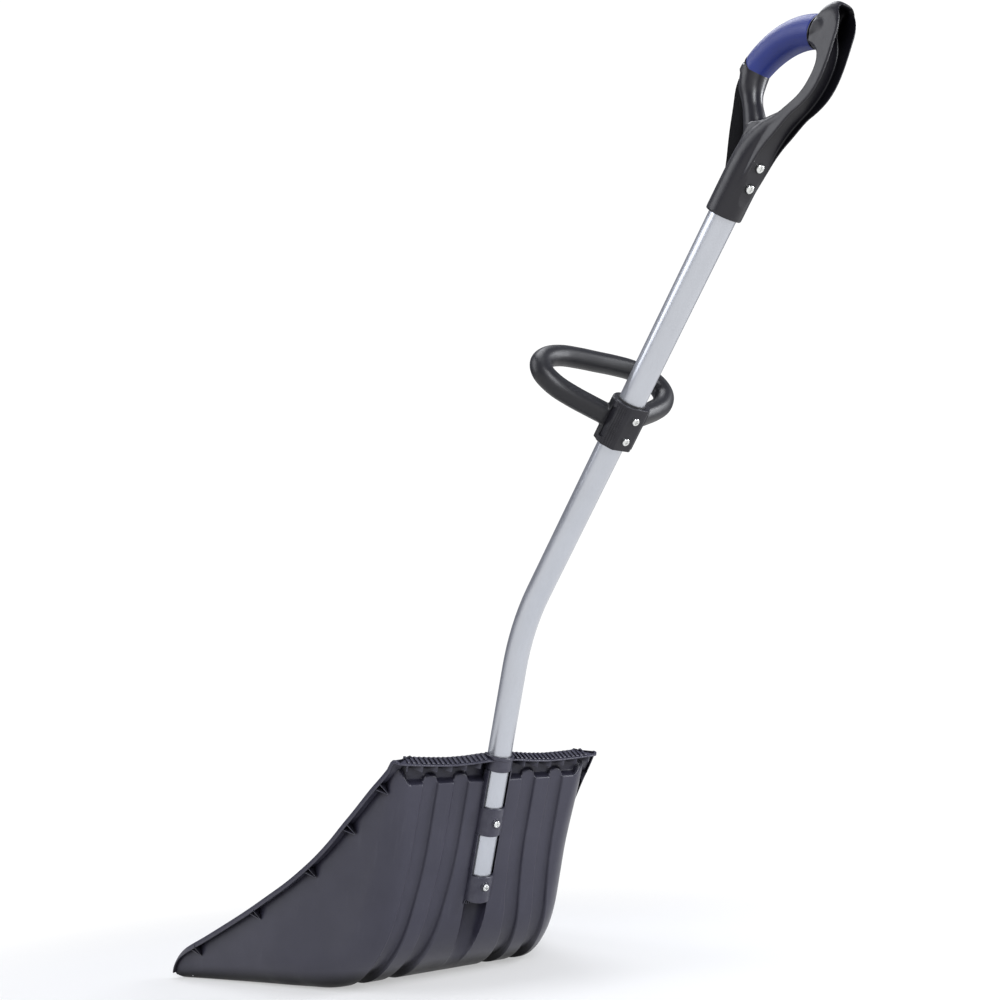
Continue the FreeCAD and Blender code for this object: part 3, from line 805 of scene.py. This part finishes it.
# cradle: front half of the clamp, lofted along the tube
cr = []
for s, k in ((286.0, 1.2), (287.6, 0.0), (300.0, 0.0), (314.0, 0.0), (328.0, 0.0), (340.4, 0.0), (342.0, 1.2)):
    sec = []
    for i in range(33):
        a = radians(180 + 180 * i / 32)
        sec.append((23.0 * cos(a) * (1 - k / 23), 23.0 * sin(a) * (1 - k / 23) * 1.02 - 0.3))
    sec += [(24.5 - k, -0.3), (24.5 - k, -8.0)]
    cr.append([up(x, n, s) for x, n in sec[:33]])
rmb.loft(cr)
for sx in (1, -1):
    ear = [(sx * 17.0, -0.3), (sx * 24.5, -0.3), (sx * 24.5, -7.0), (sx * 22.0, -10.5), (sx * 17.0, -10.5)]
    rmb.loft([[up(a, b, 286.6) for a, b in ear], [up(a, b, 341.4) for a, b in ear]])
ring = rmb.obj("assist_ring")
remesh(ring, 1.1, smooth=5)
cb = MB()
cb.loft([[up(17.45 * cos(2 * pi * i / 64), 17.45 * sin(2 * pi * i / 64), s) for i in range(64)] for s in (200.0, 420.0)])
back = MB()
cut(ring, cb.obj("cutter"))
back.loft([[up(x, n, s) for x, n in ((-45, -0.35), (45, -0.35), (45, 50), (-45, 50))] for s in (240.0, 400.0)])
cut(ring, back.obj("cutter2"))
ring.data.set_sharp_from_angle(angle=radians(48))
finish_piece(ring, "assist_handle", "ring_plastic", "ring_handle")

# clamp cap with ridged flanks
cp = MB()
outl = [(-23.0, 0.25), (-23.0, 8.6), (-15.2, 18.8), (-12.2, 21.0), (12.2, 21.0), (15.2, 18.8), (23.0, 8.6), (23.0, 0.25)]
inn = [(17.42 * cos(radians(a)), max(0.25, 17.42 * sin(radians(a)))) for a in [0.9] + [180 * i / 32 for i in range(1, 32)] + [179.1]]
poly = outl + inn
cp.loft([[up(a, b, 286.0) for a, b in poly], [up(a, b, 342.0) for a, b in poly]])
capo = cp.obj("clamp_cap_body")
bevel(capo, 0.9, 3, 30)
apply_mods(capo, 30)
finish_piece(capo, "assist_handle", "clamp_plastic", "clamp_cap")
rg = MB()
for sx in (1, -1):
    for k in range(4):
        t = 0.14 + 0.24 * k
        cx, cn = lerp(22.9, 15.4, t), lerp(8.8, 18.6, t)
        nx, nn_ = 0.79, 0.61
        tx, tn = -0.61, 0.79
        pts = []
        for a, b in ((-0.8, -0.4), (-0.55, 0.75), (0.55, 0.75), (0.8, -0.4)):
            pts.append((sx * (cx + tx * a + nx * b), cn + tn * a + nn_ * b))
        rg.loft([[up(a, b, s) for a, b in pts] for s in (289.0, 339.0)])
    lug = [(sx * 22.4, 0.3), (sx * 25.4, 0.3), (sx * 25.4, 4.0), (sx * 22.4, 7.0)]
    rg.loft([[up(a, b, s) for a, b in lug] for s in (334.0, 341.0)])
    rg.loft([[up(a, b, s) for a, b in lug] for s in (287.0, 294.0)])
rgo = rg.obj("clamp_ridges", angle=30)
finish_piece(rgo, "assist_handle", "clamp_plastic", "clamp_cap")

# ---------------------------------------------------------------- D handle
rim_line = [(14.6, 592), (16.4, 606), (18.6, 622), (20.6, 638), (22.4, 649), (25.6, 660), (30.8, 673), (38.0, 691.5), (46.4, 704.0),
            (52.2, 717), (54.0, 731), (52.6, 745), (50.0, 757), (47.0, 768), (43.6, 780), (40.0, 789.0), (34.5, 796.3), (27.5, 800.4),
            (21.0, 800.6)]
top_line = [(15.0, 797.0), (11.0, 792.0), (9.3, 786.0)]
open_line = [(13.0, 757.5), (20.0, 757.0), (30.0, 753.5), (36.6, 745), (38.8, 731), (36.0, 714), (26.0, 697.5), (16.0, 684.5), (8, 677.5),
             (-2, 674.0), (-12, 668), (-14, 640)]
back_poly = catmull(rim_line + top_line, k=4) + catmull(open_line, k=4)


def round_top(n, s, x, s0, hw):
    """the arm's upper end is round when seen from behind"""
    if s <= s0:
        return n, s
    f = max(0.02, 1 - (min(abs(x), hw * 0.99) / hw) ** 4) ** 0.25
    f = lerp(1.0, f, sstep(s0, s0 + 20.0, s))
    return n, s0 + (s - s0) * f


dh = MB()
slices = [-13.8, -13.3, -12, -10, -7.5, -4, 0, 4, 7.5, 10, 12, 13.3, 13.8]
dh.loft([[up(x, *round_top(a, b, x, 772.0, 14.2)) for a, b in back_poly] for x in slices])
# socket, running out into the crotch
sk_r = []
for s, rx, rn, n0 in ((574.0, 20.3, 20.3, 0.0), (576.0, 20.6, 20.6, 0.0), (600.0, 20.5, 20.5, 0.0), (622.0, 20.2, 20.4, 0.0),
                      (640.0, 19.2, 20.2, 0.4), (652.0, 17.9, 20.2, 2.0), (664.0, 16.4, 19.2, 6.0), (675.0, 15.2, 15.8, 12.5),
                      (686.0, 14.2, 9.6, 25.0), (697.0, 13.8, 5.5, 33.5)):
    sk_r.append([up(rx * cos(2 * pi * i / 48), n0 + rn * sin(2 * pi * i / 48), s + (12.0 * sin(2 * pi * i / 48) * -sstep(660, 697, s) * 0.6)) for i in range(48)])
dh.loft(sk_r)
# front arm: round, from the grip down into the socket
arm = catmull([(-54.6, 718.5), (-52.0, 708.5), (-48.0, 699.5), (-40.0, 689.5), (-30.5, 680.0), (-20.0, 670.5), (-9.0, 658), (-1, 640)], k=5)
na = len(arm)
rad = [float(np.interp(i / (na - 1), [0, 0.14, 0.30, 0.42, 0.55, 0.8, 1.0], [15.9, 15.6, 14.2, 11.4, 10.6, 12.5, 15.0])) for i in range(na)]
tube_along(dh, [up(0, a, b) for a, b in arm], [(r, r) for r in rad])
# stubs that the grip ends against
GC, GR_ = np.array((23.7, 689.2)), 82.2
ga = atan2(0.738, -0.674)


def grip_pt(deg, x=0.0, rr=0.0, th=0.0):
    """point at angle deg off the grip's middle; rr, th = section polar coordinates"""
    a = ga + radians(deg)
    rad_ = GR_ + rr * sin(th)
    n, s = GC[0] + rad_ * cos(a), GC[1] + rad_ * sin(a)
    return up(x + rr * cos(th), n, s)


for d0, d1, ra, rb, table in ((29.1, 35.0, 16.4, 16.4, ((0.0, 15.7, 15.7), (0.06, 16.4, 16.4), (1.0, 15.4, 15.4))),
                              (-32.9, -47.0, 16.4, 16.4, ((0.0, 15.7, 15.7), (0.04, 16.4, 16.4), (0.22, 15.7, 17.8),
                                                          (0.42, 14.9, 18.6), (0.65, 14.1, 18.4), (1.0, 12.6, 14.0)))):
    rings = []
    for t, rx, rn in table:
        dg = lerp(d0, d1, t)
        ring_ = []
        for k in range(48):
            th = 2 * pi * k / 48
            ring_.append(grip_pt(dg, 0, rx * rn / sqrt((rn * cos(th)) ** 2 + (rx * sin(th)) ** 2) + max(0.0, rn - 16.4) * sin(th), th))
        rings.append(ring_)
    dh.loft(rings)
hob = dh.obj("dhandle", fix=True)
remesh(hob, 1.0, smooth=9)
# channel down the back arm, running out on to the flat facet for the screws
c1 = MB()
floor_line = [(20.8, 588), (19.0, 600), (18.9, 640), (19.3, 652), (20.8, 663), (24.0, 676), (29.2, 689), (35.0, 701), (39.4, 714),
              (41.4, 728), (40.0, 743), (35.4, 757), (28.5, 766), (22.0, 773.0), (18.4, 781.0), (18.4, 788.5), (21.5, 794.0), (27.0, 796.6)]
ch_poly = catmull(floor_line, k=4) + [(48, 816), (85, 800), (85, 596)]
cs = [-11.6, -11.0, -9.5, -7, -3.5, 0, 3.5, 7, 9.5, 11.0, 11.6]
c1.loft([[up(x, *(round_top(a, b, x, 770.0, 11.9) if b < 799 else (a, b))) for a, b in ch_poly] for x in cs])
cut(hob, c1.obj("c1"))
# thin web in front of the round arm
wb = MB()
web = catmull([(-71.5, 701), (-69.0, 691), (-60, 674), (-48, 651), (-33, 626), (-24, 612), (-17.0, 612)], k=3) + \
    [(-14, 640), (-20, 662), (-34, 682), (-48, 697), (-62, 706)]
wb.loft([[up(x, a, b) for a, b in web] for x in (-3.0, 3.0)])
# points along the web's far side; no rim is built from them
fr = catmull([(-72.0, 702), (-69.5, 691), (-60.5, 674), (-48.5, 651), (-33.5, 626)], k=3)
for i in range(len(fr) - 1):
    pass
web_ob = wb.obj("dhandle_web", angle=40)
bevel(web_ob, 0.8, 2, 40)
apply_mods(web_ob, 40)
# the web takes the darker, duller copy of the handle plastic as painted shade
finish_piece(web_ob, "shovel", "handle_plastic", "dhandle_body", mat=M_WEB_PAINTED_SHADE)
remesh(hob, 0.75, smooth=2)
c4 = MB()
c4.loft([[up(16.15 * cos(2 * pi * i / 64), 16.15 * sin(2 * pi * i / 64), s) for i in range(64)] for s in (560.0, 640.0)])
cut(hob, c4.obj("c4"))
hob.data.set_sharp_from_angle(angle=radians(60))
finish_piece(hob, "shovel", "handle_plastic", "dhandle_body")

# grip: swollen sleeve with rolled ends
gm = MB()
rings = []
NG = 64
for i in range(NG + 1):
    t = i / NG
    dg = lerp(28.3, -32.1, t)
    e = abs(2 * t - 1)
    r = 16.3 + 1.1 * (1 - e * e)
    if e > 0.97:
        r -= 0.9 * ((e - 0.97) / 0.03) ** 2
    ring_ = []
    for k in range(64):
        th = 2 * pi * k / 64
        ring_.append(grip_pt(dg - 3.0 * (1 - t) * sin(th) ** 1, 0, r * (1 - 0.02 * cos(th) ** 2), th))
    rings.append(ring_)
gm.loft(rings)
grip = gm.obj("grip", angle=50)
finish_piece(grip, "shovel", "grip_rubber", "grip_sleeve")
# dark seams where sleeve and handle meet
sm = MB()
for d in (28.7, -32.4):
    rings = []
    for dd, r in ((-0.5, 14.4), (-0.3, 16.35), (0.3, 16.35), (0.5, 14.4)):
        rings.append([grip_pt(d + dd - (3.0 * sin(2 * pi * k / 48) if d > 0 else 0), 0, r, 2 * pi * k / 48) for k in range(48)])
    sm.loft(rings)
seam = sm.obj("grip_seams")
finish_piece(seam, "shovel", "handle_plastic", "grip_sleeve")

# ---------------------------------------------------------------- floor and light
fmesh = bpy.data.meshes.new("floor")
fmesh.from_pydata([(-30, -30, 0), (30, -30, 0), (30, 30, 0), (-30, 30, 0)], [], [(0, 1, 2, 3)])
floor = bpy.data.objects.new("floor", fmesh)
bpy.context.scene.collection.objects.link(floor)
fm, fnt, fbs = mat_new("floor_pale")
FL = fnt.links.new
fco = node(fnt, "ShaderNodeTexCoord")
fnz = node(fnt, "ShaderNodeTexNoise", i_Scale=1.5, i_Detail=2.0)
FL(fco.outputs["Object"], fnz.inputs["Vector"])
frp = ramp(fnt, [(0.3, (0.74, 0.745, 0.75)), (0.7, (0.78, 0.785, 0.79))])
FL(fnz.outputs["Fac"], frp.inputs["Fac"])
FL(frp.outputs["Color"], fbs.inputs["Base Color"])
fbs.inputs["Roughness"].default_value = 0.9
fbs.inputs["Specular IOR Level"].default_value = 0.1
fln = node(fnt, "ShaderNodeVectorMath", operation="LENGTH")
FL(fco.outputs["Object"], fln.inputs[0])
fmr = node(fnt, "ShaderNodeMapRange", interpolation_type="SMOOTHSTEP")
fmr.inputs["From Min"].default_value, fmr.inputs["From Max"].default_value = 0.35, 1.15
fmr.inputs["To Min"].default_value, fmr.inputs["To Max"].default_value = 0.42, 1.0
FL(fln.outputs["Value"], fmr.inputs["Value"])
fem = node(fnt, "ShaderNodeEmission")
fem.inputs["Color"].default_value = (1.0, 1.0, 1.0, 1.0)
fem.inputs["Strength"].default_value = 1.05
fmx = node(fnt, "ShaderNodeMixShader")
FL(fmr.outputs["Result"], fmx.inputs[0])
FL(fbs.outputs[0], fmx.inputs[1])
FL(fem.outputs[0], fmx.inputs[2])
FL(fmx.outputs[0], fnt.nodes["Material Output"].inputs["Surface"])
floor.data.materials.append(fm)

world = bpy.data.worlds.new("studio")
bpy.context.scene.world = world
world.use_nodes = True
wt = world.node_tree
WL = wt.links.new
bg = wt.nodes["Background"]
wco = node(wt, "ShaderNodeTexCoord")
wsp = node(wt, "ShaderNodeSeparateXYZ")
WL(wco.outputs["Generated"], wsp.inputs[0])
wrp = ramp(wt, [(0.0, (0.44, 0.455, 0.51)), (0.50, (0.27, 0.28, 0.32)), (0.62, (0.17, 0.175, 0.20)), (1.0, (0.32, 0.33, 0.375))])
wmr = node(wt, "ShaderNodeMapRange")
wmr.inputs["From Min"].default_value, wmr.inputs["From Max"].default_value = -1.0, 1.0
WL(wsp.outputs["Z"], wmr.inputs["Value"])
WL(wmr.outputs["Result"], wrp.inputs["Fac"])
WL(wrp.outputs["Color"], bg.inputs["Color"])
bg.inputs["Strength"].default_value = 1.0
bg2 = node(wt, "ShaderNodeBackground")
bg2.inputs["Color"].default_value = (1.0, 1.0, 1.0, 1.0)
bg2.inputs["Strength"].default_value = 1.05
wlp = node(wt, "ShaderNodeLightPath")
wmx = node(wt, "ShaderNodeMixShader")
WL(wlp.outputs["Is Camera Ray"], wmx.inputs[0])
WL(bg.outputs[0], wmx.inputs[1])
WL(bg2.outputs[0], wmx.inputs[2])
WL(wmx.outputs[0], wt.nodes["World Output"].inputs["Surface"])


def area(name, loc, target, size, power, col=(1, 1, 1)):
    l = bpy.data.lights.new(name, "AREA")
    l.shape = "RECTANGLE"
    l.size, l.size_y = size
    l.energy = power
    l.color = col
    o = bpy.data.objects.new(name, l)
    bpy.context.scene.collection.objects.link(o)
    o.location = loc
    d = (Vector(target) - Vector(loc)).normalized()
    o.rotation_euler = d.to_track_quat("-Z", "Y").to_euler()
    return o


BLUE = (0.95, 0.965, 1.0)
area("key", (1.9, -0.4, 2.0), (0, 0.6, 0.6), (1.4, 1.9), 28, BLUE)
area("side", (0.9, 2.8, 1.3), (0, 0.4, 0.4), (0.6, 1.5), 56, BLUE)
area("back", (-1.8, 1.8, 1.2), (0, 0.4, 0.4), (0.4, 1.6), 48, BLUE)
area("top", (0.0, 0.3, 3.0), (0, 0.4, 0.4), (1.4, 1.4), 32, BLUE)

sc_ = bpy.context.scene
sc_.view_settings.view_transform = "Standard"
sc_.view_settings.look = "None"
sc_.view_settings.exposure = 0.0
